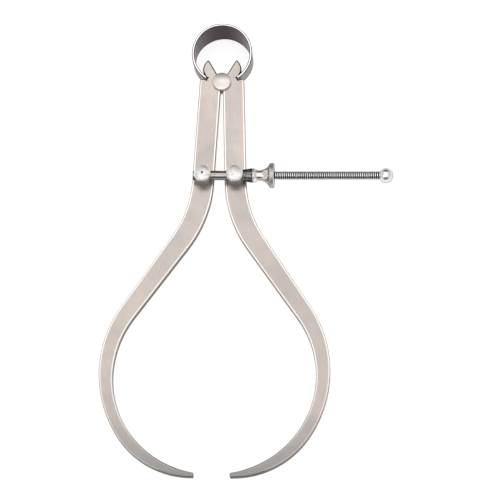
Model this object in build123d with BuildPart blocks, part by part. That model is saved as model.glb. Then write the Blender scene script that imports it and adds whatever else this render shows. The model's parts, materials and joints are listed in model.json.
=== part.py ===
"""Outside spring caliper, 150 mm size.

Two bowed legs bear on a fulcrum stud and are pushed apart by a circular bow
spring. A swivel post stands on each leg. The adjusting screw is pinned in the
left post and slides through the right one, and a nut with a thrust collar
holds the right post in.

The legs lie in the XY plane: the bow spring is towards +Y, the tips towards -Y
and the posts stand up along +Z. Everything is drawn about the fulcrum centre,
at the middle of the leg thickness. At the end the whole tool is moved so that
the origin is under the middle of its outline, at its lowest point.
"""

import os
from math import acos, atan2, cos, degrees, hypot, radians, sin, sqrt

from build123d import *

# --- fits -------------------------------------------------------------------
running_clearance = 0.05  # radial, for every turning or sliding fit
side_clearance = 0.05  # between faces that turn on each other
seat_clearance = 0.1  # round the spring ends in their notches
drive_clearance = 0.01  # radial, for pieces that are driven together

# --- legs (drawn as if the caliper were closed) -------------------------------
leg_thickness = 3.0
leg_width = 8.2  # along the straight upper part
leg_gap = 0.32  # half the slit between the closed legs
leg_reach = 152.4  # fulcrum centre to the inner corner of the tip
leg_bevel = 0.25
rest_half_angle = 2.45  # each leg from closed, as the tool lies
tip_gap = 0.04  # tip face to the middle plane, closed
tip_thickness = 1.6
tip_round = 0.4
inner_straight_end = 40.9  # below the fulcrum centre
inner_flare_radius = 48.5
inner_flare_angle = 33.0
inner_bow_rise = 57.33  # start of the bow above the tip
inner_bow_radius = 38.5
inner_bow_angle = 36.0
outer_straight_end = 40.7
outer_flare_radius = 43.3
outer_flare_angle = 30.9
outer_bow_rise = 61.58
outer_bow_radius = 45.0
outer_bow_angle = 67.0

# --- fulcrum stud -------------------------------------------------------------
fulcrum_core_radius = 2.2
fulcrum_flange_radius = 3.5
fulcrum_flange_thickness = 1.1
fulcrum_dome_height = 0.55

# --- bow spring ---------------------------------------------------------------
spring_radius = 11.1  # to the middle of the strip
spring_strip = 1.0  # thickness of the strip
spring_rise = 10.7  # ring centre above the fulcrum centre
spring_end_angle = 31.8  # each end from the bottom of the ring
spring_top_width = 13.0
spring_end_width = 6.2
spring_crown = 3.0  # height of the full-width part under the ring's top

# --- ears and shoulders at the top of each leg ----------------------------------
ear_angle = 32.0  # inner edge of the ear from the middle plane, closed
ear_reach = 10.9  # fulcrum centre to the ear's tip
ear_round = 0.5
ear_back_gap = 3.0  # ear's bulging back to the inside of the ring
ear_back_angle = 65.0  # place of that back round the ring from its bottom
lobe_gap = 1.0  # ear's lower lobe to the inside of the ring
lobe_angle = 50.0  # place of the lobe round the ring
lobe_round = 0.8
shoulder_rise = 1.1  # above the fulcrum centre
shoulder_round = 0.8

# --- swivel posts -------------------------------------------------------------
post_drop = 39.35  # below the fulcrum centre, closed
post_radius = 3.175
post_height = 6.5  # above the leg
post_dome_height = 0.45
post_facet = 0.5
post_spigot_radius = 2.1
washer_radius = 3.2
washer_thickness = 0.7
rivet_radius = 2.6
rivet_height = 0.6

# --- screw, pin and ball end ----------------------------------------------------
screw_height = 3.0  # axis above the face of the leg
screw_radius = 1.7526  # over the thread crests
shank_radius = 1.78
shank_margin = 0.3  # end of the plain shank to the thrust collar, with the tips closed
screw_stub = 0.5  # left end past the left post
screw_end_bevel = 0.3
screw_length = 66.72  # left post's centre to the left face of the ball
tenon_radius = 1.1
tenon_length = 3.0
ball_radius = 2.8
ball_neck = 2.18  # left face of the ball from its centre
pin_radius = 0.45
pin_reach = 0.9  # below the shank
pin_sink = 0.3  # below the top of the post

# --- thrust collar and nut ------------------------------------------------------
collar_length = 3.6
collar_wall = 0.3974  # small end, round the screw
collar_large_radius = 2.75
collar_seat_depth = 0.35  # spot face in the side of the right post
nut_length = 8.4
nut_rim_radius = 2.75
nut_rim_length = 0.7
nut_waist_wall = 0.2974
nut_waist_place = 2.9  # from the collar's side
nut_flange_radius = 4.8
nut_flange_thickness = 1.8
nut_bevel = 0.3

# --- worked out from the sizes above ----------------------------------------------
leg_face = leg_thickness / 2
leg_outer_x = leg_gap + leg_width
post_closed_x = leg_gap + leg_width / 2
post_swing = hypot(post_closed_x, post_drop)
post_angle = degrees(atan2(post_closed_x, post_drop)) + rest_half_angle
post_x = post_swing * sin(radians(post_angle))
post_y = -post_swing * cos(radians(post_angle))
post_foot = leg_face + side_clearance
post_top = leg_face + post_height
screw_z = leg_face + screw_height
cross_hole_radius = max(shank_radius, screw_radius) + running_clearance
nut_bore_radius = screw_radius + running_clearance
nut_waist_radius = nut_bore_radius + nut_waist_wall
collar_small_radius = nut_bore_radius + collar_wall
seat_radius = fulcrum_core_radius + running_clearance
ring_inner = spring_radius - spring_strip / 2
ring_outer = spring_radius + spring_strip / 2
tip_y = -sqrt(leg_reach**2 - tip_gap**2)
inner_slope_drop = (
    leg_reach
    - inner_bow_rise
    - inner_straight_end
    - inner_flare_radius * sin(radians(inner_flare_angle))
)
outer_slope_drop = (
    leg_reach
    - outer_bow_rise
    - outer_straight_end
    - outer_flare_radius * sin(radians(outer_flare_angle))
)
inner_slope_length = inner_slope_drop / cos(radians(inner_flare_angle))
outer_slope_length = outer_slope_drop / cos(radians(outer_flare_angle))
leg_plane = Plane.XY.rotated((0, 0, rest_half_angle))
collar_start = post_x + post_radius - collar_seat_depth
shank_end = 2 * post_closed_x + post_radius - collar_seat_depth - shank_margin
nut_start = collar_start + collar_length + side_clearance
ball_face = screw_length - post_x


def ring_point(radius, angle):
    """A point about the ring's centre, by its radius and its angle from the bottom."""
    turn = radians(angle)
    return Vector(radius * sin(turn), spring_rise - radius * cos(turn))


def in_closed_leg(point):
    """A point of the tool at rest, in the axes of the closed right leg."""
    return point.rotate(Axis.Z, -rest_half_angle)


def ring_band(level, start_angle, end_angle, inner_radius, outer_radius):
    """A stretch of ring, from one angle to another round from the ring's bottom."""
    sweep = end_angle - start_angle
    centre = (0, spring_rise)
    with BuildSketch(Plane.XY.offset(level)) as band:
        with BuildLine():
            inside = CenterArc(centre, inner_radius, start_angle - 90, sweep)
            outside = CenterArc(centre, outer_radius, start_angle - 90, sweep)
            Line(inside @ 0, outside @ 0)
            Line(inside @ 1, outside @ 1)
        make_face()
    return band.sketch


def dome_line(edge, top):
    """A shallow arc from the edge of a round face to the middle of its dome."""
    rise = abs(top[1] - edge[1])
    return RadiusArc(edge, top, (edge[0] ** 2 + rise**2) / (2 * rise) * (1 if top[1] < edge[1] else -1))


def screw_axis_plane():
    """A plane along the screw: its X is the screw's axis and its Y is the radius."""
    return Plane(origin=(0, post_y, screw_z), x_dir=(1, 0, 0), z_dir=(0, -1, 0))


def across_screw(x):
    """The plane square to the screw at x, measured from the fulcrum centre."""
    return Plane(origin=(x, post_y, screw_z), x_dir=(0, 1, 0), z_dir=(1, 0, 0))


screw_axis = Axis((0, post_y, screw_z), (1, 0, 0))

# --- legs -----------------------------------------------------------------------
ear_edge = Vector(sin(radians(ear_angle)), cos(radians(ear_angle)))
seat_bottom = Vector(leg_gap, -sqrt(seat_radius**2 - leg_gap**2))
seat_side = Vector(seat_radius, 0)
seat_top = ear_edge * seat_radius
ear_tip = ear_edge * ear_reach
ear_back = in_closed_leg(ring_point(ring_inner - ear_back_gap, ear_back_angle))
lobe = in_closed_leg(ring_point(ring_inner - lobe_gap, lobe_angle))
notch = in_closed_leg(ring_point(spring_radius, spring_end_angle))
shoulder = Vector(leg_outer_x, shoulder_rise)
tip_inner = Vector(tip_gap, tip_y)
tip_outer = Vector(tip_gap, tip_y - tip_thickness)
notch_clearance_angle = degrees(seat_clearance / spring_radius)

with BuildPart() as right_leg:
    with BuildSketch(leg_plane.offset(-leg_face)):
        with BuildLine():
            inner_top = Line(seat_bottom, (leg_gap, -inner_straight_end))
            inner_flare = JernArc(inner_top @ 1, inner_top % 1, inner_flare_radius, inner_flare_angle)
            inner_slope = PolarLine(inner_flare @ 1, inner_slope_length, direction=inner_flare % 1)
            inner_bow = JernArc(inner_slope @ 1, inner_slope % 1, inner_bow_radius, -inner_bow_angle)
            TangentArc(inner_bow @ 1, tip_inner, tangent=inner_bow % 1)
            Line(tip_inner, tip_outer)
            outer_top = Line(shoulder, (leg_outer_x, -outer_straight_end))
            outer_flare = JernArc(outer_top @ 1, outer_top % 1, outer_flare_radius, outer_flare_angle)
            outer_slope = PolarLine(outer_flare @ 1, outer_slope_length, direction=outer_flare % 1)
            outer_bow = JernArc(outer_slope @ 1, outer_slope % 1, outer_bow_radius, -outer_bow_angle)
            TangentArc(outer_bow @ 1, tip_outer, tangent=outer_bow % 1)
            Line(shoulder, notch)
            Line(notch, lobe)
            ThreePointArc(lobe, ear_back, ear_tip)
            Line(ear_tip, seat_top)
            ThreePointArc(seat_top, seat_side, seat_bottom)
        make_face()
        fillet(vertices().sort_by_distance(ear_tip)[0], ear_round)
        fillet(vertices().sort_by_distance(lobe)[0], lobe_round)
        fillet(vertices().sort_by_distance(shoulder)[0], shoulder_round)
        for corner in (tip_inner, tip_outer):
            fillet(vertices().sort_by_distance(corner)[0], tip_round)
    extrude(amount=leg_thickness)
    extrude(
        ring_band(
            -leg_face,
            spring_end_angle - notch_clearance_angle,
            lobe_angle,
            ring_inner - seat_clearance,
            ring_outer + seat_clearance,
        ),
        amount=leg_thickness,
        mode=Mode.SUBTRACT,
    )
    long_edges = edges().filter_by(Plane.XY).filter_by(lambda edge: edge.length > leg_width)
    chamfer(long_edges, leg_bevel)
    with BuildSketch(Plane.XY.offset(-leg_face)):
        with Locations((post_x, post_y)):
            Circle(post_spigot_radius + running_clearance)
    extrude(amount=leg_thickness, mode=Mode.SUBTRACT)
right_leg.part.label = "right_leg"

with BuildPart() as left_leg:
    mirror(right_leg.part, about=Plane.YZ)
left_leg.part.label = "left_leg"

# --- fulcrum stud: a spool that both legs bear on -----------------------------------
flange_foot = leg_face + side_clearance
flange_rim = flange_foot + fulcrum_flange_thickness
with BuildPart() as fulcrum_stud:
    with BuildSketch(Plane.XZ):
        with BuildLine():
            Line((0, 0), (fulcrum_core_radius, 0))
            Line((fulcrum_core_radius, 0), (fulcrum_core_radius, flange_foot))
            Line((fulcrum_core_radius, flange_foot), (fulcrum_flange_radius, flange_foot))
            Line((fulcrum_flange_radius, flange_foot), (fulcrum_flange_radius, flange_rim))
            dome_line((fulcrum_flange_radius, flange_rim), (0, flange_rim + fulcrum_dome_height))
            Line((0, flange_rim + fulcrum_dome_height), (0, 0))
        make_face()
    revolve(axis=Axis.Z)
    mirror(about=Plane.XY)
fulcrum_stud.part.label = "fulcrum_stud"

# --- bow spring: a strip bent to a ring, widest at the top ----------------------------
spring_top_y = spring_rise + ring_outer
spring_end_y = ring_point(ring_outer, spring_end_angle).Y
crown_y = spring_top_y - spring_crown
with BuildPart() as bow_spring:
    band = ring_band(
        -spring_top_width / 2, spring_end_angle, 360 - spring_end_angle, ring_inner, ring_outer
    )
    extrude(band, amount=spring_top_width)
    with BuildSketch(Plane.YZ.offset(-ring_outer)):
        with BuildLine():
            Polyline(
                (spring_end_y, spring_end_width / 2),
                (crown_y, spring_top_width / 2),
                (spring_top_y, spring_top_width / 2),
                (spring_top_y, -spring_top_width / 2),
                (crown_y, -spring_top_width / 2),
                (spring_end_y, -spring_end_width / 2),
                close=True,
            )
        make_face()
    extrude(amount=2 * ring_outer, mode=Mode.INTERSECT)
bow_spring.part.label = "bow_spring"

# --- swivel posts and their washers ------------------------------------------------
washer_face = -leg_face - side_clearance
rivet_face = washer_face - washer_thickness
rivet_end = rivet_face - rivet_height
dome_edge = post_top - post_dome_height


def post_blank(x):
    """A post with its spigot and riveted end, before the hole for the screw."""
    with BuildPart() as blank:
        with BuildSketch(Plane(origin=(x, post_y, 0), x_dir=(1, 0, 0), z_dir=(0, -1, 0))):
            with BuildLine():
                Polyline(
                    (0, rivet_end),
                    (rivet_radius - rivet_height / 2, rivet_end),
                    (rivet_radius, rivet_face),
                    (post_spigot_radius, rivet_face),
                    (post_spigot_radius, post_foot),
                    (post_radius, post_foot),
                    (post_radius, dome_edge - post_facet),
                    (post_radius - post_facet, dome_edge),
                )
                dome_line((post_radius - post_facet, dome_edge), (0, post_top))
                Line((0, post_top), (0, rivet_end))
            make_face()
        revolve(axis=Axis((x, post_y, 0), (0, 0, 1)))
    return blank.part


def post_washer(x):
    """The washer between a leg and the riveted end of its post."""
    with BuildPart() as washer:
        with BuildSketch(Plane.XY.offset(rivet_face)):
            with Locations((x, post_y)):
                Circle(washer_radius)
                Circle(post_spigot_radius + running_clearance, mode=Mode.SUBTRACT)
        extrude(amount=washer_thickness)
    return washer.part


with BuildPart() as right_post:
    add(post_blank(post_x))
    with BuildSketch(across_screw(post_x - post_radius)):
        Circle(cross_hole_radius)
    extrude(amount=2 * post_radius, mode=Mode.SUBTRACT)
    with BuildSketch(across_screw(collar_start - side_clearance)):
        Circle(collar_small_radius + running_clearance)
    extrude(amount=post_radius, mode=Mode.SUBTRACT)
right_post.part.label = "right_post"

pin_end = screw_z - shank_radius - pin_reach
with BuildPart() as left_post:
    add(post_blank(-post_x))
    with BuildSketch(across_screw(-post_x - post_radius)):
        Circle(shank_radius + drive_clearance)
    extrude(amount=2 * post_radius, mode=Mode.SUBTRACT)
    with BuildSketch(Plane.XY.offset(pin_end)):
        with Locations((-post_x, post_y)):
            Circle(pin_radius + drive_clearance)
    extrude(amount=post_height, mode=Mode.SUBTRACT)
left_post.part.label = "left_post"

with BuildPart() as right_post_washer:
    add(post_washer(post_x))
right_post_washer.part.label = "right_post_washer"

with BuildPart() as left_post_washer:
    add(post_washer(-post_x))
left_post_washer.part.label = "left_post_washer"

# --- adjusting screw, its pin and its ball end -----------------------------------------
screw_start = -post_x - post_radius - screw_stub
thread_start = shank_end - post_x
with BuildPart() as adjusting_screw:
    with BuildSketch(screw_axis_plane()):
        with BuildLine():
            Polyline(
                (screw_start, 0),
                (screw_start, shank_radius - screw_end_bevel),
                (screw_start + screw_end_bevel, shank_radius),
                (thread_start, shank_radius),
                (thread_start, screw_radius),
                (ball_face, screw_radius),
                (ball_face, tenon_radius),
                (ball_face + tenon_length, tenon_radius),
                (ball_face + tenon_length, 0),
                close=True,
            )
        make_face()
    revolve(axis=screw_axis)
    with BuildSketch(Plane.XY.offset(pin_end)):
        with Locations((-post_x, post_y)):
            Circle(pin_radius + drive_clearance)
    extrude(amount=post_height, mode=Mode.SUBTRACT)
adjusting_screw.part.label = "adjusting_screw"

with BuildPart() as screw_pin:
    with BuildSketch(Plane.XY.offset(pin_end)):
        with Locations((-post_x, post_y)):
            Circle(pin_radius)
    extrude(amount=post_top - pin_sink - pin_end)
screw_pin.part.label = "screw_pin"

ball_x = ball_face + ball_neck
neck_angle = degrees(acos(-ball_neck / ball_radius))
tenon_hole_radius = tenon_radius + drive_clearance
tenon_hole_end = ball_face + tenon_length + drive_clearance
with BuildPart() as ball_end:
    with BuildSketch(screw_axis_plane()):
        with BuildLine():
            outside = CenterArc((ball_x, 0), ball_radius, 0, neck_angle)
            Polyline(
                outside @ 1,
                (ball_face, tenon_hole_radius),
                (tenon_hole_end, tenon_hole_radius),
                (tenon_hole_end, 0),
                outside @ 0,
            )
        make_face()
    revolve(axis=screw_axis)
ball_end.part.label = "ball_end"

# --- thrust collar and adjusting nut --------------------------------------------------
collar_end = collar_start + collar_length
with BuildPart() as thrust_collar:
    with BuildSketch(screw_axis_plane()):
        with BuildLine():
            Polyline(
                (collar_start, nut_bore_radius),
                (collar_start, collar_small_radius),
                (collar_start + collar_seat_depth, collar_small_radius),
                (collar_end, collar_large_radius),
                (collar_end, nut_bore_radius),
                close=True,
            )
        make_face()
    revolve(axis=screw_axis)
thrust_collar.part.label = "thrust_collar"

nut_end = nut_start + nut_length
rim_end = (nut_start + nut_rim_length, nut_rim_radius)
waist = (nut_start + nut_waist_place, nut_waist_radius)
flange_foot_x = nut_end - nut_flange_thickness
with BuildPart() as adjusting_nut:
    with BuildSketch(screw_axis_plane()):
        with BuildLine():
            Polyline(
                rim_end,
                (nut_start + nut_bevel, nut_rim_radius),
                (nut_start, nut_rim_radius - nut_bevel),
                (nut_start, nut_bore_radius),
                (nut_end, nut_bore_radius),
                (nut_end, nut_flange_radius - nut_bevel),
                (nut_end - nut_bevel, nut_flange_radius),
                (flange_foot_x, nut_flange_radius),
            )
            TangentArc(waist, (flange_foot_x, nut_flange_radius), tangent=(1, 0))
            TangentArc(waist, rim_end, tangent=(-1, 0))
        make_face()
    revolve(axis=screw_axis)
adjusting_nut.part.label = "adjusting_nut"

# --- origin and export ------------------------------------------------------------
pieces = [
    left_leg,
    right_leg,
    fulcrum_stud,
    bow_spring,
    left_post,
    right_post,
    left_post_washer,
    right_post_washer,
    adjusting_screw,
    screw_pin,
    ball_end,
    thrust_collar,
    adjusting_nut,
]
outline = Compound([piece.part for piece in pieces]).bounding_box()
origin = Location((-outline.center().X, -outline.center().Y, -outline.min.Z))
os.makedirs("parts", exist_ok=True)
for piece in pieces:
    export_step(piece.part.moved(origin), f"parts/{piece.part.label}.step")
print("fulcrum centre", origin.position)
print("post", post_x, post_y, "screw height", screw_z, "swing radius", post_swing)
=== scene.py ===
"""Looks of an outside spring caliper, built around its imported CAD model.

Two bowed legs of satin-ground steel turn on a fulcrum stud, a tempered bow
spring pushes them apart, and a polished nut on a fine screw holds them in.
"""

import json
import logging
import math
from dataclasses import dataclass, field
from enum import Enum
from typing import Iterable, Sequence

import bmesh
import bpy
from mathutils import Matrix, Vector


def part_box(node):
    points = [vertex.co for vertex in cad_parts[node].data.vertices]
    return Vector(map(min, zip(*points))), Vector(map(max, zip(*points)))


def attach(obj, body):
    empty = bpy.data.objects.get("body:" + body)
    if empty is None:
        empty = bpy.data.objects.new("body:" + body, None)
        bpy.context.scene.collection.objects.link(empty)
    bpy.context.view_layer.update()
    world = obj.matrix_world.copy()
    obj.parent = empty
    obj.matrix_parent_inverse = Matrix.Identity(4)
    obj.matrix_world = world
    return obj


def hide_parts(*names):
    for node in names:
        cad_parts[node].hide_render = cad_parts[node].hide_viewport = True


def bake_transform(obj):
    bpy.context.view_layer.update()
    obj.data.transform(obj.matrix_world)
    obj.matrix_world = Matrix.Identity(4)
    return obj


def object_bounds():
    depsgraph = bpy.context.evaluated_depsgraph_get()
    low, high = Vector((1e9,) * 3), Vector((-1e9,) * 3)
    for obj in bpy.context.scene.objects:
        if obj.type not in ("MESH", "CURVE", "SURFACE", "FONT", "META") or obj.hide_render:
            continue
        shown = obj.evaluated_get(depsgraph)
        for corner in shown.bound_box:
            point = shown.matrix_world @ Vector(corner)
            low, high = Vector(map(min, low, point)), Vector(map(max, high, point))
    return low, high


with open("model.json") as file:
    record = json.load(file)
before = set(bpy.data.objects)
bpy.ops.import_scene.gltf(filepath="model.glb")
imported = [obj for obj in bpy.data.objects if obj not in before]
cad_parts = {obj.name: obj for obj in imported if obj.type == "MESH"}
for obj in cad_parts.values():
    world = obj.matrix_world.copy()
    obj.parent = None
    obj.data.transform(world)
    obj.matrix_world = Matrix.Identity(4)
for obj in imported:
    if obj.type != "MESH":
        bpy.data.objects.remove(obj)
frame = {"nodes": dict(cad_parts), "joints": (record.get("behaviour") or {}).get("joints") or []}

CAD_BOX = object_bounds()
MM = 0.001
LOG = logging.getLogger("caliper")
JOINTS = {joint["name"]: joint for joint in frame["joints"]}
FULCRUM = Vector(JOINTS["right_leg_swing"]["pos_m"])
RIGHT_POST = Vector(JOINTS["right_post_turn"]["pos_m"])
LEFT_POST = Vector(JOINTS["left_post_turn"]["pos_m"])
SCREW = Vector(JOINTS["nut_spin"]["pos_m"])
X_AXIS = Vector((1, 0, 0))
Y_AXIS = Vector((0, 1, 0))
Z_AXIS = Vector((0, 0, 1))
WELD = 1e-6  # corners of a CAD mesh that are this close, in metres, are one
SEAM = 1e-7  # the same where a spun shape meets itself
THREAD_WELD = 2e-6  # the same from one turn of the thread to the next


# --- small helpers ------------------------------------------------------------


def linear(colour: str) -> tuple[float, float, float, float]:
    """Turns an sRGB hex colour into linear light.

    Args:
        colour: six hex digits after a hash.

    Returns:
        Red, green, blue and an alpha of 1.
    """
    channels = [int(colour[start : start + 2], 16) / 255 for start in (1, 3, 5)]
    light = [c / 12.92 if c <= 0.04045 else ((c + 0.055) / 1.055) ** 2.4 for c in channels]
    return (*light, 1.0)


def add_node(
    tree: bpy.types.NodeTree,
    kind: str,
    values: dict | None = None,
    links: dict | None = None,
    **settings: object,
) -> bpy.types.Node:
    """Adds one shader node with its settings and links.

    Args:
        tree: the node tree that gets the node.
        kind: Blender's identifier of the node.
        values: constant for each input socket, by name or number.
        links: output socket that feeds each input, by name or number.
        settings: properties of the node itself.

    Returns:
        The new node.
    """
    node = tree.nodes.new(kind)
    for name, value in settings.items():
        setattr(node, name, value)
    for socket, value in (values or {}).items():
        node.inputs[socket].default_value = value
    for socket, source in (links or {}).items():
        tree.links.new(source, node.inputs[socket])
    return node


def cad_copy(node: str) -> bmesh.types.BMesh:
    """Copies a CAD node's mesh and joins its loose triangles.

    Args:
        node: the CAD node to copy.

    Returns:
        The joined copy.
    """
    shape = bmesh.new()
    shape.from_mesh(frame["nodes"][node].data)
    bmesh.ops.remove_doubles(shape, verts=shape.verts, dist=WELD)
    return shape


def turned(
    profile: Sequence[tuple[float, float]],
    centre: Vector,
    axis: Vector,
    across: Vector,
    steps: int = 96,
    closed: bool = False,
) -> bmesh.types.BMesh:
    """Turns a profile round an axis, as on a lathe.

    Args:
        profile: (distance along the axis, radius) in millimetres.
        centre: the point of the axis where the distance is 0.
        axis: direction of the axis.
        across: direction square to it in which the profile is drawn.
        steps: divisions of the full turn.
        closed: whether the profile is a loop, as round a bore.

    Returns:
        The turned shape.
    """
    shape = bmesh.new()
    verts = [
        shape.verts.new(centre + axis * along * MM + across * radius * MM)
        for along, radius in profile
    ]
    pairs = list(zip(verts, verts[1:]))
    if closed:
        pairs.append((verts[-1], verts[0]))
    edges = [shape.edges.new(pair) for pair in pairs]
    bmesh.ops.spin(
        shape,
        geom=verts + edges,
        cent=centre,
        axis=axis,
        angle=math.tau,
        steps=steps,
        use_merge=True,
    )
    bmesh.ops.remove_doubles(shape, verts=shape.verts, dist=SEAM)
    bmesh.ops.recalc_face_normals(shape, faces=shape.faces)
    return shape


def round_corners(
    shape: bmesh.types.BMesh, width: float, segments: int = 3, angle: float = 28
) -> None:
    """Rounds every edge that is sharper than an angle.

    Args:
        shape: the mesh to change.
        width: how far the rounding reaches from the edge, in millimetres.
        segments: strips in the rounding.
        angle: the least angle between two faces that is rounded, in degrees.
    """
    sharp = [e for e in shape.edges if e.is_manifold and e.calc_face_angle(0) > math.radians(angle)]
    bmesh.ops.bevel(
        shape,
        geom=sharp,
        offset=width * MM,
        affect="EDGES",
        segments=segments,
        profile=0.5,
        material=-1,
        clamp_overlap=True,
    )


def arc(
    centre: tuple[float, float], radius: float, start: float, end: float, steps: int
) -> list[tuple[float, float]]:
    """Points on an arc.

    Args:
        centre: its centre in millimetres.
        radius: its radius.
        start: first angle in degrees.
        end: last angle in degrees.
        steps: divisions of the arc.

    Returns:
        The points from start to end, both included.
    """
    turns = [math.radians(start + (end - start) * i / steps) for i in range(steps + 1)]
    return [(centre[0] + radius * math.cos(t), centre[1] + radius * math.sin(t)) for t in turns]


def tangent_arc(
    start: tuple[float, float], end: tuple[float, float], steps: int
) -> list[tuple[float, float]]:
    """Points on the arc that leaves start level with the axis and reaches end.

    Args:
        start: first point, (along, radius) in millimetres.
        end: last point.
        steps: divisions of the arc.

    Returns:
        The points from start to end, both included.
    """
    run, rise = end[0] - start[0], end[1] - start[1]
    radius = (run**2 + rise**2) / (2 * abs(rise))
    turn = 2 * math.atan2(abs(rise), abs(run))
    points = []
    for i in range(steps + 1):
        part = turn * i / steps
        along = math.copysign(radius * math.sin(part), run)
        out = math.copysign(radius * (1 - math.cos(part)), rise)
        points.append((start[0] + along, start[1] + out))
    return points


def finish_piece(
    name: str,
    shape: bmesh.types.BMesh,
    material: bpy.types.Material,
    nodes: Iterable[str],
    sharp_angle: float = 32,
) -> bpy.types.Object:
    """Makes a finished object of a mesh and hides the CAD nodes that it stands for.

    Args:
        name: the piece's name.
        shape: its mesh, which is used up.
        material: its finish.
        nodes: the CAD nodes that it replaces.
        sharp_angle: edges sharper than this stay crisp, in degrees.

    Returns:
        The new object, at the origin.
    """
    mesh = bpy.data.meshes.new(name)
    shape.to_mesh(mesh)
    shape.free()
    mesh.materials.append(material)
    mesh.shade_smooth()
    mesh.set_sharp_from_angle(angle=math.radians(sharp_angle))
    piece = bpy.data.objects.new(name, mesh)
    bpy.context.scene.collection.objects.link(piece)
    weights = piece.modifiers.new("flat faces lead", "WEIGHTED_NORMAL")
    weights.keep_sharp = True
    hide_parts(*nodes)
    LOG.info("%s: %d faces", name, len(mesh.polygons))
    return piece


# --- finishes --------------------------------------------------------------------


STAIN_SPAN = (0.36, 0.68)  # levels of the noise between clean and stained metal
MARK_SPAN = (0.3, 0.7)  # levels of the noise between the bottoms and tops of the marks
BUMP = 0.5  # strength of the marks' bump


class Lay(Enum):
    """Which way the tool marks of a finish run: the pattern's scale along X, Y and Z."""

    LENGTHWISE = (30.0, 1.0, 30.0)
    ALL_WAYS = (1.0, 1.0, 1.0)
    ROUND_SCREW = (1.0, 0.04, 0.04)


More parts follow.
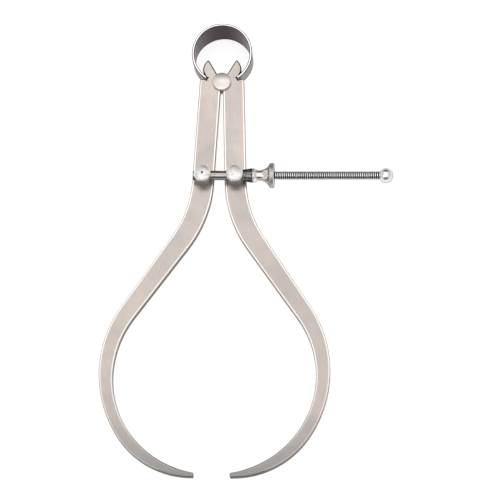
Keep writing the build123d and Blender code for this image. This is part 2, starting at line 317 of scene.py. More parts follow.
@dataclass(frozen=True)
class Steel:
    """A steel surface: its colour, how it was worked, how handling has rubbed it, and the shade and
    highlights painted on it.

    Attributes:
        name: the finish, as a maker would call it.
        colour: sRGB of the clean metal.
        stain: sRGB of the faint tarnish between the clean patches.
        upright_shade: sRGB of the painted shade on faces that stand upright, or empty where there
            is none.
        upright_shade_reach: upright part of the normal at which the painted shade has gone.
        worn_and_highlit: sRGB of the strips along edges, rubbed bright by handling and painted
            brighter still as a highlight.
        groove_shade: sRGB of the painted shade in the bottoms of threads and knurls.
        film_and_shade: sRGB of the dark film left by tempering, laid on thicker as painted shade.
        edge: sRGB of the metal's tint where it is seen nearly edge on.
        roughness: typical roughness of the worked surface.
        roughness_swing: how much it varies.
        mark_spacing: distance between tool marks in millimetres, drawn coarser than
            real grit leaves them, which would be too fine to show.
        mark_depth: their depth in millimetres, drawn deeper than real ones to show.
        lay: which way the marks run.
        stain_size: size of a stained patch in millimetres.
        tip_tone: sRGB that the colour turns to towards the tips, or empty where it is the same all
            over.
        tip_tone_span: levels along Y in millimetres where that change begins and where it is full.
    """

    name: str
    colour: str
    stain: str
    upright_shade: str = ""
    upright_shade_reach: float = 0.85
    worn_and_highlit: str = ""
    groove_shade: str = ""
    film_and_shade: str = ""
    edge: str = "#9a9694"
    roughness: float = 0.3
    roughness_swing: float = 0.08
    mark_spacing: float = 0.3
    mark_depth: float = 0.002
    lay: Lay = Lay.ALL_WAYS
    stain_size: float = 6.0
    tip_tone: str = ""
    tip_tone_span: tuple[float, float] = (-62.0, -88.0)

    def material(self) -> bpy.types.Material:
        """Builds the node material.

        Returns:
            The material, named for the finish.
        """
        material = bpy.data.materials.new(self.name)
        material.use_nodes = True
        tree = material.node_tree
        tree.nodes.clear()
        place = add_node(tree, "ShaderNodeTexCoord").outputs["Object"]
        marks = self._marks(tree, place)
        patches = add_node(
            tree,
            "ShaderNodeTexNoise",
            {"Scale": 1 / (self.stain_size * MM), "Detail": 5.0, "Roughness": 0.6},
            {"Vector": place},
        ).outputs["Fac"]
        colour = self._colour(tree, patches, place)
        rough = add_node(
            tree,
            "ShaderNodeMapRange",
            {
                "From Min": MARK_SPAN[0],
                "From Max": MARK_SPAN[1],
                "To Min": self.roughness - self.roughness_swing,
                "To Max": self.roughness + self.roughness_swing,
            },
            {"Value": marks},
        )
        bump = add_node(
            tree,
            "ShaderNodeBump",
            {"Strength": BUMP, "Distance": self.mark_depth * MM},
            {"Height": marks},
        )
        shader = add_node(
            tree,
            "ShaderNodeBsdfPrincipled",
            {"Metallic": 1.0, "Specular Tint": linear(self.edge)},
            {
                "Base Color": colour,
                "Roughness": rough.outputs["Result"],
                "Normal": bump.outputs["Normal"],
            },
        )
        add_node(tree, "ShaderNodeOutputMaterial", None, {"Surface": shader.outputs["BSDF"]})
        return material

    def _marks(
        self, tree: bpy.types.NodeTree, place: bpy.types.NodeSocket
    ) -> bpy.types.NodeSocket:
        """Adds fine tool marks, stretched along their lay.

        Args:
            tree: the material's nodes.
            place: object coordinates.

        Returns:
            A height from 0 to 1.
        """
        stretch = add_node(tree, "ShaderNodeMapping", {"Scale": self.lay.value}, {"Vector": place})
        scale = 1 / (self.mark_spacing * MM * max(self.lay.value))
        noise = add_node(
            tree,
            "ShaderNodeTexNoise",
            {"Scale": scale, "Detail": 3.0, "Roughness": 0.55},
            {"Vector": stretch.outputs["Vector"]},
        )
        return noise.outputs["Fac"]

    def _colour(
        self,
        tree: bpy.types.NodeTree,
        patches: bpy.types.NodeSocket,
        place: bpy.types.NodeSocket,
    ) -> bpy.types.NodeSocket:
        """Adds the colour: tarnish, darker ends, painted shade on upright faces, rubbed edges with
        a painted highlight, painted shade in grooves and pits, and a dark film with painted shade.

        Args:
            tree: the material's nodes.
            patches: noise that places the tarnish.
            place: object coordinates.

        Returns:
            The colour.
        """
        ramp = add_node(tree, "ShaderNodeValToRGB", None, {"Fac": patches})
        for stop, level, tone in zip(
            ramp.color_ramp.elements, STAIN_SPAN, (self.colour, self.stain)
        ):
            stop.position = level
            stop.color = linear(tone)
        colour = ramp.outputs["Color"]
        # Darker and greyer towards the tips, along Y.
        if self.tip_tone:
            parts = add_node(tree, "ShaderNodeSeparateXYZ", None, {"Vector": place})
            amount = add_node(
                tree,
                "ShaderNodeMapRange",
                {"From Min": self.tip_tone_span[0] * MM, "From Max": self.tip_tone_span[1] * MM},
                {"Value": parts.outputs["Y"]},
            ).outputs["Result"]
            colour = self._blend(tree, colour, self.tip_tone, amount)
        # Painted shade: faces that stand upright take a darker colour, fading out as they turn
        # level.
        if self.upright_shade:
            normal = add_node(tree, "ShaderNodeNewGeometry").outputs["Normal"]
            parts = add_node(tree, "ShaderNodeSeparateXYZ", None, {"Vector": normal})
            upright = add_node(
                tree, "ShaderNodeMath", None, {0: parts.outputs["Z"]}, operation="ABSOLUTE"
            ).outputs[0]
            amount = add_node(
                tree,
                "ShaderNodeMapRange",
                {
                    "From Min": self.upright_shade_reach / 2,
                    "From Max": self.upright_shade_reach,
                    "To Min": 1.0,
                    "To Max": 0.0,
                },
                {"Value": upright},
            ).outputs["Result"]
            colour = self._blend(tree, colour, self.upright_shade, amount)
        # Painted highlight on the rubbed edges, painted shade in grooves and knurl pits, and a dark
        # film laid on as painted shade, each where its attribute says.
        films = (("wear_and_highlight", self.worn_and_highlit), ("depth", self.groove_shade), ("film_and_shade", self.film_and_shade))
        for attribute, over in films:
            if over:
                mask = add_node(tree, "ShaderNodeAttribute", attribute_name=attribute)
                colour = self._blend(tree, colour, over, mask.outputs["Fac"])
        return colour

    def _blend(
        self,
        tree: bpy.types.NodeTree,
        under: bpy.types.NodeSocket,
        over: str,
        amount: bpy.types.NodeSocket,
    ) -> bpy.types.NodeSocket:
        """Lays one colour over another.

        Args:
            tree: the material's nodes.
            under: the colour below.
            over: sRGB of the colour above.
            amount: how much of it shows.

        Returns:
            The mixed colour.
        """
        mix = add_node(
            tree,
            "ShaderNodeMix",
            {7: linear(over)},
            {6: under, 0: amount},
            data_type="RGBA",
        )
        return mix.outputs[2]


# Tool steel, surface ground along each leg: a soft warm grey sheen with faint lines
# lengthwise, edges rubbed bright by handling and painted brighter still as a highlight,
# upright sides and the strips round the ears darkened with painted shade, and a colour
# that turns darker and greyer towards the tips.
GROUND_LEG = Steel(
    name="satin ground tool steel",
    colour="#c4b9b1",
    stain="#b2a9a6",
    upright_shade="#625e5c",
    worn_and_highlit="#efeae6",
    film_and_shade="#3a3638",
    edge="#dcd7d3",
    roughness=0.30,
    roughness_swing=0.04,
    mark_spacing=0.12,
    mark_depth=0.003,
    lay=Lay.LENGTHWISE,
    stain_size=14.0,
    tip_tone="#8f8d8c",
)
# Turned and lightly polished: a pale, smooth dome with one broad soft highlight.
STUD_STEEL = Steel(
    name="turned and polished steel",
    colour="#f0e8e4",
    stain="#ddd4d0",
    roughness=0.36,
    mark_spacing=0.25,
)
# Barrel tumbled: a pebbled bright top that breaks the highlight up, and sides darkened with painted
# shade.
# The dents are drawn coarser and much deeper than real ones, so that they show.
POST_STEEL = Steel(
    name="tumbled steel",
    colour="#ffffff",
    stain="#d4cdc7",
    upright_shade="#b3aca7",
    upright_shade_reach=0.5,
    roughness=0.5,
    mark_spacing=0.55,
    mark_depth=0.05,
    stain_size=0.9,
)
# Oil tempered strip: a grey, half glossy outside, the brown black film of the oil
# inside laid on darker as painted shade towards the top of the ring, painted shade on
# the rounded edges, and a bright line on the rims, rubbed clean and painted as a highlight.
SPRING_STEEL = Steel(
    name="oil tempered spring steel",
    colour="#a9a4a5",
    stain="#8f8a8b",
    worn_and_highlit="#fbf5f2",
    film_and_shade="#453f45",
    edge="#d0ccca",
    roughness=0.28,
    mark_spacing=0.2,
    stain_size=9.0,
)
# Bright drawn rod: a near mirror with crisp dark and light bands along the shank; its sides that
# face sideways are darkened with painted shade.
SCREW_STEEL = Steel(
    name="bright drawn screw steel",
    colour="#bdb8b6",
    stain="#a39f9d",
    upright_shade="#7d797a",
    roughness=0.16,
    mark_spacing=0.15,
    lay=Lay.ROUND_SCREW,
)
# Cut with a die: bright crests over grooves painted near black as shade.
THREAD_STEEL = Steel(
    name="die cut screw thread",
    colour="#ebe7e4",
    stain="#dad6d3",
    groove_shade="#161314",
    roughness=0.24,
    mark_spacing=0.15,
    lay=Lay.ROUND_SCREW,
)
# Nickel plate, buffed: the glossiest metal of the tool, with sharp reflections that
# darken towards the outline, and knurl pits painted greyer as shade.
NICKEL = Steel(
    name="polished nickel plate",
    colour="#ebe7e5",
    stain="#dad6d4",
    groove_shade="#757070",
    edge="#7d7978",
    roughness=0.18,
    roughness_swing=0.03,
    mark_spacing=0.4,
    mark_depth=0.0008,
)
# Heat blued and partly rubbed off: nearly black, with small bare grey patches.
BLUED_STEEL = Steel(
    name="blued steel",
    colour="#9a9799",
    stain="#1c1a1c",
    roughness=0.26,
    mark_spacing=0.25,
    mark_depth=0.004,
    stain_size=0.8,
)


# --- legs ----------------------------------------------------------------------------


@dataclass
class Legs:
    """The two bowed legs, with their ears, shoulders and tips.

    Attributes:
        crown_width: the strip along each face's outline that slopes away, in millimetres.
        crown_drop: how far that strip falls to its outer edge.
        tip_plain: height of the tip under the strips.
        post_boss: radius round each post that stays flat.
        ear_drop: how far the strip falls on the ears.
        ear_foot: height of the shoulders above the fulcrum: strips above it, on the ears, get
            painted shade, and strips below it are rubbed bright and painted as a highlight.
        fade_start: level above which the strips' rubbed look and painted highlight are full, from
            the middle of the tool.
        fade_end: level below which least of it shows.
        fade_least: how much that is.
        stud_boss: radius round the fulcrum that stays flat.
        flat_tolerance: faces within this angle count as one plane, in degrees.
        flat_level: upright part of the normal from which a face is part of a flat side.
        edge_level: the same under which a face is part of the leg's edge.
        foot_share: how far up its own width the lowest strip is left as it is.
        foot_slack: how far under the strips' start a face's corners may lie, in millimetres.
        sharp_angle: edges sharper than this stay crisp, in degrees.
    """

    crown_width: float = 0.45
    crown_drop: float = 0.055
    tip_plain: float = 2.4
    post_boss: float = 3.0
    ear_drop: float = 0.35
    ear_foot: float = 1.3
    fade_start: float = -45.0
    fade_end: float = -78.0
    fade_least: float = 0.15
    stud_boss: float = 3.6
    flat_tolerance: float = 0.4
    flat_level: float = 0.99
    edge_level: float = 0.9
    foot_share: float = 0.6
    foot_slack: float = 0.01
    sharp_angle: float = 25
    material: bpy.types.Material = field(default_factory=GROUND_LEG.material)

    def build(self) -> None:
        """Builds both legs on their bodies."""
        for side in ("left_leg", "right_leg"):
            shape = self._outline(side)
            self._crown(shape)
            leg = finish_piece(
                side + "_ground", shape, self.material, [side], self.sharp_angle
            )
            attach(leg, side)

    def _outline(self, node: str) -> bmesh.types.BMesh:
        """Copies a leg cleanly, with each flat face in as few pieces as it can be.

        Args:
            node: the CAD node to copy.

        Returns:
            The merged copy, cut across where the strips along its outline begin.
        """
        shape = cad_copy(node)
        bmesh.ops.dissolve_limit(
            shape,
            angle_limit=math.radians(self.flat_tolerance),
            verts=shape.verts,
            edges=shape.edges,
        )
        bmesh.ops.bisect_plane(
            shape,
            geom=shape.verts[:] + shape.edges[:] + shape.faces[:],
            plane_co=Y_AXIS * self._foot(shape),
            plane_no=Y_AXIS,
            dist=WELD,
        )
        return shape

    def _foot(self, shape: bmesh.types.BMesh) -> float:
        """The level where the strips along the outline begin, above the leg's tip, in metres."""
        return min(vert.co.y for vert in shape.verts) + self.tip_plain * MM

    def _crown(self, shape: bmesh.types.BMesh) -> None:
        """Slopes a strip along the outline of both faces: rubbed bright with a painted highlight on
        the legs, painted shade on the ears.

        Args:
            shape: the leg to change.
        """
        wear_and_highlight = shape.faces.layers.float.new("wear_and_highlight")
        film_and_shade = shape.faces.layers.float.new("film_and_shade")
        foot = self._foot(shape)
        for way in (1, -1):
            flat = [
                face
                for face in shape.faces
                if face.normal.z * way > self.flat_level
                and all(vert.co.y > foot - self.foot_slack * MM for vert in face.verts)
            ]
            made = bmesh.ops.inset_region(
                shape,
                faces=flat,
                thickness=self.crown_width * MM,
                use_boundary=True,
                use_even_offset=True,
            )
            falls = {}
            for strip in made["faces"]:
                middle = strip.calc_center_median()
                lowest = foot + self.crown_width * MM * self.foot_share
                if middle.y < lowest or not self._is_clear(middle):
                    continue
                # Strips on the ears get painted shade; the others are rubbed bright by handling and
                # painted as a highlight that fades towards the tips.
                on_ear = middle.y - FULCRUM.y > self.ear_foot * MM
                if on_ear:
                    strip[film_and_shade] = 1.0
                else:
                    strip[wear_and_highlight] = self._shown(middle.y)
                drop = self.ear_drop if on_ear else self.crown_drop
                for vert in strip.verts:
                    if any(abs(f.normal.z) < self.edge_level for f in vert.link_faces):
                        falls[vert] = max(drop, falls.get(vert, 0.0))
            for vert, drop in falls.items():
                vert.co.z -= way * drop * MM

    def _is_clear(self, place: Vector) -> bool:
        """Whether a place is clear of the flats round the posts and the fulcrum."""
        near_post = min((place - post).xy.length for post in (LEFT_POST, RIGHT_POST))
        return near_post > self.post_boss * MM and (place - FULCRUM).xy.length > self.stud_boss * MM

    def _shown(self, level: float) -> float:
        """How much of an edge strip's rubbed look and painted highlight shows at a level: it fades
        towards the tips.
        """
        part = (level - self.fade_end * MM) / ((self.fade_start - self.fade_end) * MM)
        return self.fade_least + (1 - self.fade_least) * min(1.0, max(0.0, part))


# --- bow spring ------------------------------------------------------------------------


@dataclass
class BowSpring:
    """The strip bent to a ring, in two halves, each running from the top of the ring to one leg.

    Attributes:
        radius: to the middle of the strip, in millimetres.
        strip: its thickness.
        rise: the ring's centre above the fulcrum.
        end_angle: each end from the bottom of the ring, in degrees.
        top_width: width of the strip at the top.
        end_width: its width at the ends.
        crown: height of the full-width part.
        edge_round: rounding of the strip's edges.
        edge_angle: least angle of an edge that is rounded, in degrees.
        rim_level: upright part of the normal from which a face is part of a rim.
        inside_film_and_shade: dark film inside the ring at its foot, and how much more painted
            shade there is at its top.
        outside_film_and_shade: dark film and painted shade on the outside of the ring.
        edge_shade: painted shade on the rounded edges.
        steps: divisions of each half.
    """

    radius: float = 11.1
    strip: float = 1.0
    rise: float = 10.7
    end_angle: float = 31.8
    top_width: float = 13.0
    end_width: float = 6.2
    crown: float = 3.0
    edge_round: float = 0.28
    edge_angle: float = 60
    rim_level: float = 0.9
    inside_film_and_shade: tuple[float, float] = (0.55, 0.45)
    outside_film_and_shade: float = 0.1
    edge_shade: float = 0.9
    steps: int = 72
    material: bpy.types.Material = field(default_factory=SPRING_STEEL.material)

    def build(self) -> None:
        """Builds both halves, each bending from the stud to its leg."""
        centre = FULCRUM + Y_AXIS * self.rise * MM
        for side, name in ((1, "right"), (-1, "left")):
            shape = self._half(centre, side)
            half = finish_piece(
                f"bow_spring_{name}", shape, self.material, ["bow_spring"]
            )
            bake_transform(half)

    def _half(self, centre: Vector, side: int) -> bmesh.types.BMesh:
        """Bends one half of the strip.

        Args:
            centre: the ring's centre.
            side: 1 for the right half, -1 for the left.

        Returns:
            The half, from the top of the ring to one end.
        """
        shape = bmesh.new()
        inner, outer = (self.radius - self.strip / 2) * MM, (self.radius + self.strip / 2) * MM
        corners = [(inner, -1), (outer, -1), (outer, 1), (inner, 1)]
        verts = [
            shape.verts.new(centre + Vector((0, radius, z * self.top_width / 2 * MM)))
            for radius, z in corners
        ]
        start = shape.faces.new(verts)
        bmesh.ops.spin(
            shape,
            geom=[start],
            cent=centre,
            axis=Z_AXIS,
            angle=-side * math.radians(180 - self.end_angle),
            steps=self.steps,
        )
        bmesh.ops.remove_doubles(shape, verts=shape.verts, dist=SEAM)
        for vert in shape.verts:
            level = self._half_width(vert.co.y - centre.y)
            vert.co.z = centre.z + math.copysign(level, vert.co.z - centre.z)
        bmesh.ops.recalc_face_normals(shape, faces=shape.faces)
        self._finish(shape, centre)
        return shape

    def _finish(self, shape: bmesh.types.BMesh, centre: Vector) -> None:
        """Rounds the strip's long edges, gives the rims a rubbed look with a painted highlight, and
        gives the rest a dark film with painted shade, most of it on the rounded edges.

        Args:
            shape: the half to change.
            centre: the ring's centre.
        """
        wear_and_highlight = shape.faces.layers.float.new("wear_and_highlight")
        film_and_shade = shape.faces.layers.float.new("film_and_shade")
        # Rims get the rubbed look with a painted highlight; inside, the dark film is laid on as
        # painted shade that grows towards the top of the ring; outside there is a little of it.
        for face in shape.faces:
            out = (face.calc_center_median() - centre).xy
            if abs(face.normal.z) > self.rim_level:
                face[wear_and_highlight] = 1.0
            elif out.length < self.radius * MM:
                least, more = self.inside_film_and_shade
                face[film_and_shade] = least + more * max(0.0, out.y / out.length) ** 2
            else:
                face[film_and_shade] = self.outside_film_and_shade
        seam = [v for v in shape.verts if abs(v.co.x - centre.x) < WELD]
        sharp = [
            e
            for e in shape.edges
            if e.calc_face_angle(0) > math.radians(self.edge_angle)
            and not all(v in seam for v in e.verts)
        ]
        made = bmesh.ops.bevel(
            shape,
            geom=sharp,
            offset=self.edge_round * MM,
            affect="EDGES",
            segments=3,
            profile=0.5,
            material=-1,
        )
        # The rounded edges get painted shade.
        for face in made["faces"]:
            face[wear_and_highlight] = 0.0
            face[film_and_shade] = self.edge_shade

    def _half_width(self, height: float) -> float:
        """Works out how the strip narrows from the top of the ring to its ends.

        Args:
            height: above the ring's centre, in metres.

        Returns:
            Half the strip's width there, in metres.
        """
        top = (self.radius + self.strip / 2 - self.crown) * MM
        bottom = -(self.radius + self.strip / 2) * math.cos(math.radians(self.end_angle)) * MM
        part = min(1.0, max(0.0, (height - bottom) / (top - bottom)))
        return (self.end_width + (self.top_width - self.end_width) * part) / 2 * MM


# --- fulcrum stud --------------------------------------------------------------------------


@dataclass
class FulcrumStud:
    """The spool between the legs, with a domed flange on each side.

    Attributes:
        core: radius of the spool's middle, in millimetres.
        flange: radius of the flanges.
        leg_face: inner face of each flange, from the middle of the legs.
        flange_thickness: up to the dome.
        dome: height of the dome.
        dome_rings: rings of faces in the dome.
        rim_round: rounding of the flanges' edges.
    """

    core: float = 2.2
    flange: float = 3.5
    leg_face: float = 1.55
    flange_thickness: float = 1.1
    dome: float = 0.55
    dome_rings: int = 8
    rim_round: float = 0.15
    material: bpy.types.Material = field(default_factory=STUD_STEEL.material)

    def build(self) -> None:
        """Turns the stud."""
        rim = self.leg_face + self.flange_thickness
        front = [(self.leg_face, self.core), (self.leg_face, self.flange), (rim, self.flange)]
        rings = range(1, self.dome_rings + 1)
        dome = [
            (rim + self.dome * (1 - (r / self.flange) ** 2), r)
            for r in (self.flange * (1 - i / self.dome_rings) for i in rings)
        ]
        profile = [(0.0, self.core)] + front + dome
        profile = [(-a, r) for a, r in reversed(profile[1:])] + profile
        shape = turned(profile, FULCRUM, Z_AXIS, X_AXIS, 96)
        round_corners(shape, self.rim_round)
        stud = finish_piece(
            "fulcrum_stud_turned", shape, self.material, ["fulcrum_stud"]
        )
        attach(stud, "fulcrum")


# --- swivel posts ---------------------------------------------------------------------------


@dataclass
class SwivelPosts:
    """The posts that carry the screw, with their washers and riveted ends.

    Attributes:
        sharp_angle: edges sharper than this stay crisp, in degrees.
    """

    sharp_angle: float = 22
    material: bpy.types.Material = field(default_factory=POST_STEEL.material)
    dark: bpy.types.Material = field(default_factory=BLUED_STEEL.material)

    def build(self) -> None:
        """Dresses the posts, their washers and the screw's pin."""
        for node in ("left_post", "right_post", "left_post_washer", "right_post_washer"):
            shape = cad_copy(node)
            piece = finish_piece(
                node + "_turned", shape, self.material, [node], self.sharp_angle
            )
            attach(piece, node.replace("_washer", ""))
        pin = cad_copy("screw_pin")
        piece = finish_piece("screw_pin_blued", pin, self.dark, ["screw_pin"])
        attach(piece, "left_post")


# --- adjusting screw and ball end --------------------------------------------------------------


@dataclass
class AdjustingScrew:
    """The screw with its plain shank, its thread and its ball end.

    Attributes:
        crest: radius over the thread, in millimetres.
        root: radius at the bottom of the thread.
        shank: radius of the plain part.
        pitch: distance from one turn of the thread to the next.
        turn_steps: divisions of each turn of the thread.
        root_flat: where the flat at the root ends, as a share of the pitch.
        flank_end: where the flank ends.
        crest_start: where the flat crest begins, wider than on a real thread so that
            the bright lines show.
        crest_ease: how far the flank's end lies under the crest, in millimetres.
        groove_top: how far under the crest a face lies to count as part of a recess, which gets the
            painted shade.
        sharp_angle: edges of the thread sharper than this stay crisp, in degrees.
        shank_end: end of the plain part, from the left post.
        shank_round: rounding of its ends.
        ball_face: left face of the ball, from the left post.
        ball_radius: radius of the ball.
        ball_neck: that face from the ball's centre.
        ball_round: rounding of its rim.
        stub: length of the shank to the left of the left post's middle.
    """

    crest: float = 1.7526
    root: float = 1.27
    shank: float = 1.78
    pitch: float = 25.4 / 32
    turn_steps: int = 28
    root_flat: float = 0.14
    flank_end: float = 0.27
    crest_start: float = 0.3
    crest_ease: float = 0.04
    groove_top: float = 0.05
    sharp_angle: float = 30
    shank_end: float = 11.365
    shank_round: float = 0.22
    ball_face: float = 66.72
    ball_radius: float = 2.8
    ball_neck: float = 2.18
    ball_round: float = 0.12
    stub: float = 3.675
    material: bpy.types.Material = field(default_factory=SCREW_STEEL.material)
    cut: bpy.types.Material = field(default_factory=THREAD_STEEL.material)
    plate: bpy.types.Material = field(default_factory=NICKEL.material)

    def build(self) -> None:
        """Builds the shank, the thread and the ball on the left post's body."""
        origin = Vector((LEFT_POST.x, SCREW.y, SCREW.z))
        start, end = -self.stub, self.shank_end
        profile = [(start, 0), (start, self.shank), (end, self.shank), (end, 0)]
        shank = turned(profile, origin, X_AXIS, Z_AXIS, 64)
        round_corners(shank, self.shank_round)
        whole = ["adjusting_screw"]
        piece = finish_piece("screw_shank", shank, self.material, whole)
        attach(piece, "left_post")
        thread = self._thread(origin)
        piece = finish_piece(
            "screw_thread", thread, self.cut, whole, self.sharp_angle
        )
        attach(piece, "left_post")
        ball_centre = self.ball_face + self.ball_neck
        neck = math.degrees(math.acos(-self.ball_neck / self.ball_radius))
        profile = arc((ball_centre, 0), self.ball_radius, 0, neck, 40) + [(self.ball_face, 0)]
        ball = turned(profile, origin, X_AXIS, Z_AXIS, 96)
        round_corners(ball, self.ball_round)
        piece = finish_piece("ball_end_plated", ball, self.plate, ["ball_end"])
        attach(piece, "left_post")

    def _thread(self, origin: Vector) -> bmesh.types.BMesh:
        """Cuts the thread: one ridge, spun along the screw.

        Args:
            origin: the screw axis at the left post.

        Returns:
            The threaded stretch, closed at both ends.
        """
        shape = bmesh.new()
        first = self.shank_end - self.pitch
        length = self.ball_face - first + self.pitch
        turns = math.ceil(length / self.pitch)
        ridge = [
            (0.0, self.root),
            (self.root_flat, self.root),
            (self.flank_end, self.crest - self.crest_ease),
            (self.crest_start, self.crest),
        ]
        ridge += [(1 - p, r) for p, r in reversed(ridge)]
        verts = []
        for part, radius in ridge:
            along = X_AXIS * (first + part * self.pitch) * MM
            verts.append(shape.verts.new(origin + along + Z_AXIS * radius * MM))
        edges = [shape.edges.new(pair) for pair in zip(verts, verts[1:])]
        bmesh.ops.spin(
            shape,
            geom=verts + edges,
            cent=origin,
            axis=X_AXIS,
            dvec=X_AXIS * (self.pitch / self.turn_steps * MM),
            angle=math.tau * turns,
            steps=self.turn_steps * turns,
        )
        bmesh.ops.remove_doubles(shape, verts=shape.verts, dist=THREAD_WELD)
        # Faces below the crests get the painted shade.
        depth = shape.faces.layers.float.new("depth")
        for face in shape.faces:
            radius = (face.calc_center_median() - origin).yz.length / MM
            face[depth] = 0.0 if radius > self.crest - self.groove_top else 1.0
        for place, side in ((self.shank_end, -1), (self.ball_face, 1)):
            cut = bmesh.ops.bisect_plane(
                shape,
                geom=shape.verts[:] + shape.edges[:] + shape.faces[:],
                plane_co=origin + X_AXIS * place * MM,
                plane_no=X_AXIS * side,
                clear_outer=True,
            )
            rim = [e for e in cut["geom_cut"] if isinstance(e, bmesh.types.BMEdge)]
            bmesh.ops.holes_fill(shape, edges=rim, sides=0)
        bmesh.ops.recalc_face_normals(shape, faces=shape.faces)
        return shape


# --- adjusting nut and thrust collar --------------------------------------------------------------


@dataclass
class AdjustingNut:
    """The waisted nut with its knurled flange, and the collar it bears on.

    Attributes:
        bore: radius of the bore of both, in millimetres.
        length: of the nut.
        rim: radius of its left end.
        rim_length: length of that end.
        waist: radius where it is narrowest.
        waist_place: where that is, from the left end.
        flange: radius of the knurled flange.
        flange_thickness: of the flange.
        bevel: slope at the nut's edges.
        mouth: slope at the right end of the bore.
        knurl_start: radius from which the knurl's pattern shows on the flange's slope.
        knurl_count: diamonds round the rim, fewer than on a real nut so that they show.
        knurl_depth: depth of the pattern.
        knurl_rows: rings of faces across the rim, which the pattern bends.
        face_margin: how far inside the rim the flange's flat end begins.
        pit_shade_level: share of the depth from which the pits are painted greyer as shade.
        round_steps: divisions round the nut.
        sharp_angle: edges of the nut sharper than this stay crisp, in degrees.
        collar_small: radius of the collar's left end.
        collar_seat: how far that end stays straight.
        collar_large: radius of its right end.
        collar_round: rounding of its edges.
        collar_angle: least angle of an edge of it that is rounded, in degrees.
    """

    bore: float = 1.8026
    length: float = 8.4
    rim: float = 2.75
    rim_length: float = 0.7
    waist: float = 2.1
    waist_place: float = 2.9
    flange: float = 4.8
    flange_thickness: float = 1.8
    bevel: float = 0.3
    mouth: float = 0.3
    knurl_start: float = 3.4
    knurl_count: int = 40
    knurl_depth: float = 0.08
    knurl_rows: int = 18
    face_margin: float = 0.02
    pit_shade_level: float = 0.5
    round_steps: int = 400
    sharp_angle: float = 50
    collar_small: float = 2.2
    collar_seat: float = 0.35
    collar_large: float = 2.75
    collar_round: float = 0.14
    collar_angle: float = 40
    plate: bpy.types.Material = field(default_factory=NICKEL.material)
    blued: bpy.types.Material = field(default_factory=BLUED_STEEL.material)

    def build(self) -> None:
        """Builds the nut on its own body and the collar on the right post's."""
        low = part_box("adjusting_nut")[0]
        origin = Vector((low.x, SCREW.y, SCREW.z))
        end = self.length
        foot = end - self.flange_thickness
        rim_end = (self.rim_length, self.rim)
        waist = (self.waist_place, self.waist)
        across = self.flange_thickness - 2 * self.bevel
        knurled = [
            (foot + self.bevel + across * i / self.knurl_rows, self.flange)
            for i in range(self.knurl_rows + 1)
        ]
        profile = [(0.0, self.bore), (0.0, self.rim - self.bevel), (self.bevel, self.rim)]
        profile += list(reversed(tangent_arc(waist, rim_end, 10)))
        profile += tangent_arc(waist, (foot, self.flange - self.bevel), 30)[1:]
        profile += knurled
        profile += [
            (end, self.flange - self.bevel),
            (end, self.bore + self.mouth),
            (end - self.mouth, self.bore),
        ]
        shape = turned(profile, origin, X_AXIS, Z_AXIS, self.round_steps, closed=True)
        self._knurl(shape, origin, foot)
        nut = finish_piece(
            "adjusting_nut_plated",
            shape,
            self.plate,
            ["adjusting_nut"],
            self.sharp_angle,
        )
        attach(nut, "nut")
        self._collar()

    def _knurl(self, shape: bmesh.types.BMesh, origin: Vector, foot: float) -> None:
        """Presses a diamond knurl into the flange's rim.

        Args:
            shape: the turned nut.
            origin: the nut's left end on the axis.
            foot: where the flange begins, in millimetres.
        """
        depth = shape.verts.layers.float.new("depth")
        lead = math.tau * self.flange / self.knurl_count
        for vert in shape.verts:
            local = vert.co - origin
            along, radius = local.x / MM, local.yz.length / MM
            reach = (radius - self.knurl_start) / (self.flange - self.knurl_start)
            fade = min(1.0, max(0.0, reach))
            on_end = radius < self.flange - self.face_margin and along > foot
            if fade <= 0.0 or on_end:
                continue
            turn = math.atan2(local.z, local.y) / math.tau * self.knurl_count
            ridges = [abs(((turn + s * along / lead) % 1.0) - 0.5) * 2 for s in (-1, 1)]
            sunk = (1 - min(ridges)) * fade
            shrink = 1 - self.knurl_depth * sunk / radius
            vert.co = origin + Vector((local.x, local.y * shrink, local.z * shrink))
            # The deeper part of each pit gets the painted shade.
            vert[depth] = max(0.0, sunk - self.pit_shade_level) / (1 - self.pit_shade_level)

    def _collar(self) -> None:
        """Turns the collar between the nut and the right post."""
        low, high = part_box("thrust_collar")
        origin = Vector((low.x, SCREW.y, SCREW.z))
        length = (high.x - low.x) / MM
        profile = [
            (0.0, self.bore),
            (0.0, self.collar_small),
            (self.collar_seat, self.collar_small),
            (length, self.collar_large),
            (length, self.bore),
        ]
        shape = turned(profile, origin, X_AXIS, Z_AXIS, 96, closed=True)
        round_corners(shape, self.collar_round, angle=self.collar_angle)
        collar = finish_piece(
            "thrust_collar_blued", shape, self.blued, ["thrust_collar"]
        )
        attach(collar, "right_post")


# --- studio --------------------------------------------------------------------------------------


@dataclass(frozen=True)
class Lamp:
    """A lamp over the table.

    Attributes:
        name: what it is.
        offset: its place from the middle of the tool, in metres.
        size: its width and length in metres.
        power: its power in watts.
        aimed: whether it is turned to the tool, and not straight down.
    """

    name: str
    offset: tuple[float, float, float]
    size: tuple[float, float]
    power: float
    aimed: bool = False


LAMPS = (
    Lamp("soft box", (0.0, -0.5, 1.3), (1.5, 1.28), 4.4),
    Lamp("strip light", (0.0, 0.6, 1.3), (1.5, 0.48), 1.85),
    Lamp("key light", (-0.7, -0.5, 0.9), (0.25, 0.25), 0.5, aimed=True),
)


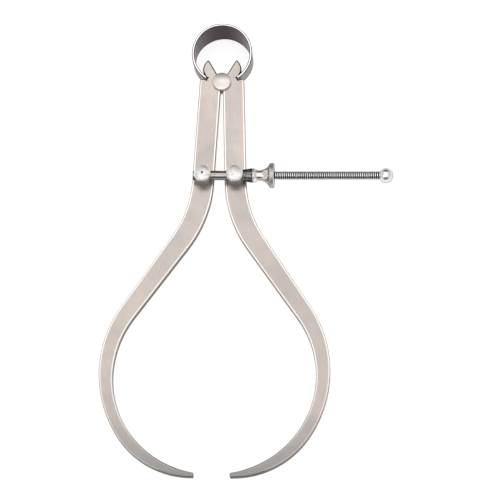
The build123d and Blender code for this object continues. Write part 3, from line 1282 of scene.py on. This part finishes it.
@dataclass
class Studio:
    """A pale light table, soft lights and the camera.

    Attributes:
        azimuth: where the camera stands round the tool, in degrees.
        elevation: its height above the legs' plane, in degrees.
        roll: how far it is turned about its own line of sight, in degrees.
        distance: to the point it looks at, in metres.
        aim: that point from the fulcrum, in millimetres.
        lens: its focal length in millimetres.
        sensor: width of its sensor in millimetres.
        wall_light: brightness of the walls.
        doorway_light: brightness of the doorways.
        doorway_side: sideways part of a direction where a doorway ends, and where it is darkest.
        doorway_top: lengthwise part of a direction where a doorway ends, and where it is darkest.
        table_reach: from the table's middle to its sides, in metres.
        table_colour: sRGB of the table's acrylic.
        table_glow: strength of the light that comes through it.
    """

    azimuth: float = 11.116
    elevation: float = 71.521
    roll: float = 10.407
    distance: float = 0.8
    aim: tuple[float, float] = (10.595, -65.562)
    lens: float = 156.39
    wall_light: float = 0.8
    doorway_light: float = 0.2
    doorway_side: tuple[float, float] = (0.65, 0.3)
    doorway_top: tuple[float, float] = (0.5, 0.75)
    sensor: float = 36
    table_reach: float = 6.0
    table_colour: str = "#b4b4b4"
    table_glow: float = 0.76

    def build(self) -> None:
        """Sets up the table, the lights and the camera."""
        self._table()
        self._lights()
        self._camera()

    def _table(self) -> None:
        """Lays a pale table, sloped a little so that the spring's rim and the tips rest on it."""
        spring_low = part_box("bow_spring")[0]
        spring_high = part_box("bow_spring")[1]
        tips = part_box("right_leg")[0]
        run = spring_high.y - tips.y
        slope = math.atan2(tips.z - spring_low.z, run)
        shape = bmesh.new()
        bmesh.ops.create_grid(shape, x_segments=1, y_segments=1, size=self.table_reach)
        edge = Matrix.Translation((0, spring_high.y, spring_low.z))
        place = edge @ Matrix.Rotation(-slope, 4, "X")
        bmesh.ops.transform(shape, matrix=place, verts=shape.verts)
        mesh = bpy.data.meshes.new("table")
        shape.to_mesh(mesh)
        shape.free()
        material = bpy.data.materials.new("white acrylic")
        material.use_nodes = True
        shader = material.node_tree.nodes["Principled BSDF"]
        shader.inputs["Base Color"].default_value = linear(self.table_colour)
        shader.inputs["Roughness"].default_value = 0.7
        shader.inputs["Specular IOR Level"].default_value = 0.1
        shader.inputs["Emission Color"].default_value = linear("#ffffff")
        shader.inputs["Emission Strength"].default_value = self.table_glow
        mesh.materials.append(material)
        table = bpy.data.objects.new("table", mesh)
        bpy.context.scene.collection.objects.link(table)

    def _lights(self) -> None:
        """Hangs the lamps over the tool, and puts it in its room."""
        middle = (CAD_BOX[0] + CAD_BOX[1]) / 2
        for lamp in LAMPS:
            offset = Vector(lamp.offset)
            data = bpy.data.lights.new(lamp.name, "AREA")
            data.shape = "RECTANGLE"
            data.size, data.size_y = lamp.size
            data.energy = lamp.power
            light = bpy.data.objects.new(lamp.name, data)
            light.location = middle + offset
            if lamp.aimed:
                light.rotation_euler = (-offset).to_track_quat("-Z", "Y").to_euler()
            bpy.context.scene.collection.objects.link(light)
        bpy.context.scene.world = self._room()
        bpy.context.scene.view_settings.view_transform = "Standard"

    def _room(self) -> bpy.types.World:
        """Makes white walls round the table, with a dark doorway beyond each end of the tool.

        Returns:
            The world.
        """
        world = bpy.data.worlds.new("white room with two doorways")
        world.use_nodes = True
        tree = world.node_tree
        tree.nodes.clear()
        way = add_node(tree, "ShaderNodeTexCoord").outputs["Object"]
        parts = add_node(tree, "ShaderNodeSeparateXYZ", None, {"Vector": way})
        inside = []
        for axis, (edge, full) in (("X", self.doorway_side), ("Y", self.doorway_top)):
            size = add_node(
                tree, "ShaderNodeMath", None, {0: parts.outputs[axis]}, operation="ABSOLUTE"
            )
            ramp = add_node(
                tree,
                "ShaderNodeMapRange",
                {"From Min": edge, "From Max": full},
                {"Value": size.outputs[0]},
                interpolation_type="SMOOTHSTEP",
            )
            inside.append(ramp.outputs["Result"])
        dark = add_node(
            tree, "ShaderNodeMath", None, {0: inside[0], 1: inside[1]}, operation="MULTIPLY"
        )
        light = add_node(
            tree,
            "ShaderNodeMapRange",
            {"To Min": self.wall_light, "To Max": self.doorway_light},
            {"Value": dark.outputs[0]},
        )
        back = add_node(
            tree,
            "ShaderNodeBackground",
            {"Color": linear("#ffffff")},
            {"Strength": light.outputs["Result"]},
        )
        add_node(tree, "ShaderNodeOutputWorld", None, {"Surface": back.outputs["Background"]})
        return world

    def _camera(self) -> None:
        """Places the camera, turned round its line of sight by the roll."""
        a, e, r = (math.radians(v) for v in (self.azimuth, self.elevation, self.roll))
        back = Vector((math.sin(a) * math.cos(e), -math.cos(a) * math.cos(e), math.sin(e)))
        right = Vector((math.cos(a), math.sin(a), 0))
        up = back.cross(right)
        rolled_right = right * math.cos(r) - up * math.sin(r)
        rolled_up = right * math.sin(r) + up * math.cos(r)
        turn = Matrix((rolled_right, rolled_up, back)).transposed()
        aim = FULCRUM + Vector((*self.aim, 0)) * MM
        data = bpy.data.cameras.new("camera")
        data.lens = self.lens
        data.sensor_width = self.sensor
        data.clip_start = 0.01
        data.clip_end = 50
        camera = bpy.data.objects.new("camera", data)
        camera.matrix_world = Matrix.Translation(aim + back * self.distance) @ turn.to_4x4()
        bpy.context.scene.collection.objects.link(camera)
        bpy.context.scene.camera = camera


def main() -> None:
    """Builds the tool and its studio."""
    logging.basicConfig(level=logging.INFO, format="%(name)s: %(message)s")
    parts = (
        Legs(),
        BowSpring(),
        FulcrumStud(),
        SwivelPosts(),
        AdjustingScrew(),
        AdjustingNut(),
        Studio(),
    )
    for part in parts:
        part.build()
        LOG.info("built %s", type(part).__name__)


if __name__ == "__main__":
    main()
